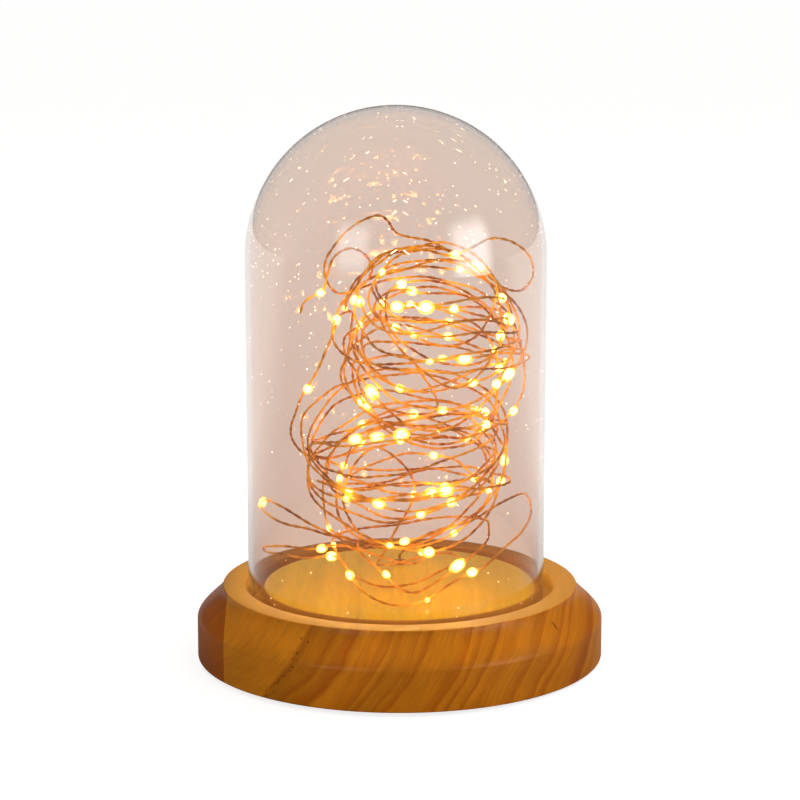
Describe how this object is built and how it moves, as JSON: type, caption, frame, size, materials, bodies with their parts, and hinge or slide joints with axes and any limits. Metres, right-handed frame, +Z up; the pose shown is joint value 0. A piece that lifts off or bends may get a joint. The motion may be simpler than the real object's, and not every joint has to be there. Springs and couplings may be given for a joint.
{
  "type": "bedside table lamp",
  "caption": "Bedside lamp: a glass bell stands in the groove of a turned wooden base, over a tangle of copper-wire fairy lights fed from a battery box under the base.",
  "frame": {"origin": "middle of the base, on the surface that the felt pads stand on", "axes": "+Z up the bell's height, -Y towards the front, +X to the right seen from the front"},
  "size_m": [0.1646, 0.1646, 0.2242],
  "materials": {
    "wood": "clear lacquered laminated wood",
    "glass": "clear blown glass",
    "felt": "pressed felt",
    "black_plastic": "moulded, fine grain",
    "white_plastic": "moulded",
    "board": "coated glass-fibre board",
    "steel": "plated",
    "brass": "polished",
    "copper": "lacquered copper wire",
    "cell_jacket": "printed film over a steel can",
    "red_lead": "insulated wire",
    "black_lead": "insulated wire",
    "resin": "clear resin drop over a lit chip"
  },
  "bodies": {
    "base": {"base_body": "wood", "wire_grommet": "brass", "felt_pad_1": "felt", "felt_pad_2": "felt", "felt_pad_3": "felt", "felt_pad_4": "felt", "battery_box": "black_plastic", "box_screw_1": "steel", "box_screw_2": "steel", "box_screw_3": "steel", "box_screw_4": "steel", "cell_1": "cell_jacket", "cell_2": "cell_jacket", "cell_3": "cell_jacket", "cell_spring_1": "steel", "cell_spring_2": "steel", "cell_spring_3": "steel", "positive_contact": "steel", "bridge_contact_1": "steel", "bridge_contact_2": "steel", "negative_contact": "steel", "positive_lead": "red_lead", "negative_lead": "black_lead", "circuit_board": "board", "driver_chip": "black_plastic", "switch_body": "black_plastic", "light_wire_riser": "copper", "light_wire_base_loops": "copper", "light_wire_lower_coil": "copper", "light_wire_upper_coil": "copper", "light_wire_tail": "copper", "light_drop_01": "resin", "light_drop_02": "resin", "light_drop_03": "resin", "light_drop_04": "resin", "light_drop_05": "resin", "light_drop_06": "resin", "light_drop_07": "resin", "light_drop_08": "resin", "light_drop_09": "resin", "light_drop_10": "resin", "light_drop_11": "resin", "light_drop_12": "resin", "light_drop_13": "resin", "light_drop_14": "resin", "light_drop_15": "resin", "light_drop_16": "resin", "light_drop_17": "resin", "light_drop_18": "resin", "light_drop_19": "resin", "light_drop_20": "resin", "light_drop_21": "resin", "light_drop_22": "resin", "light_drop_23": "resin", "light_drop_24": "resin"},
    "bell": {"glass_dome": "glass"},
    "cover": {"battery_cover": "black_plastic"},
    "slider": {"switch_slider": "white_plastic"}
  },
  "joints": [
    {"name": "bell_lift", "type": "slide", "parent": "base", "child": "bell", "axis": [0, 0, 1], "range_m": [0, 0.2]},
    {"name": "cover_release", "type": "slide", "parent": "base", "child": "cover", "axis": [0, 0, -1], "range_m": [0, 0.025]},
    {"name": "switch_slide", "type": "slide", "parent": "base", "child": "slider", "axis": [1, 0, 0], "range_m": [0, 0.002]}
  ]
}
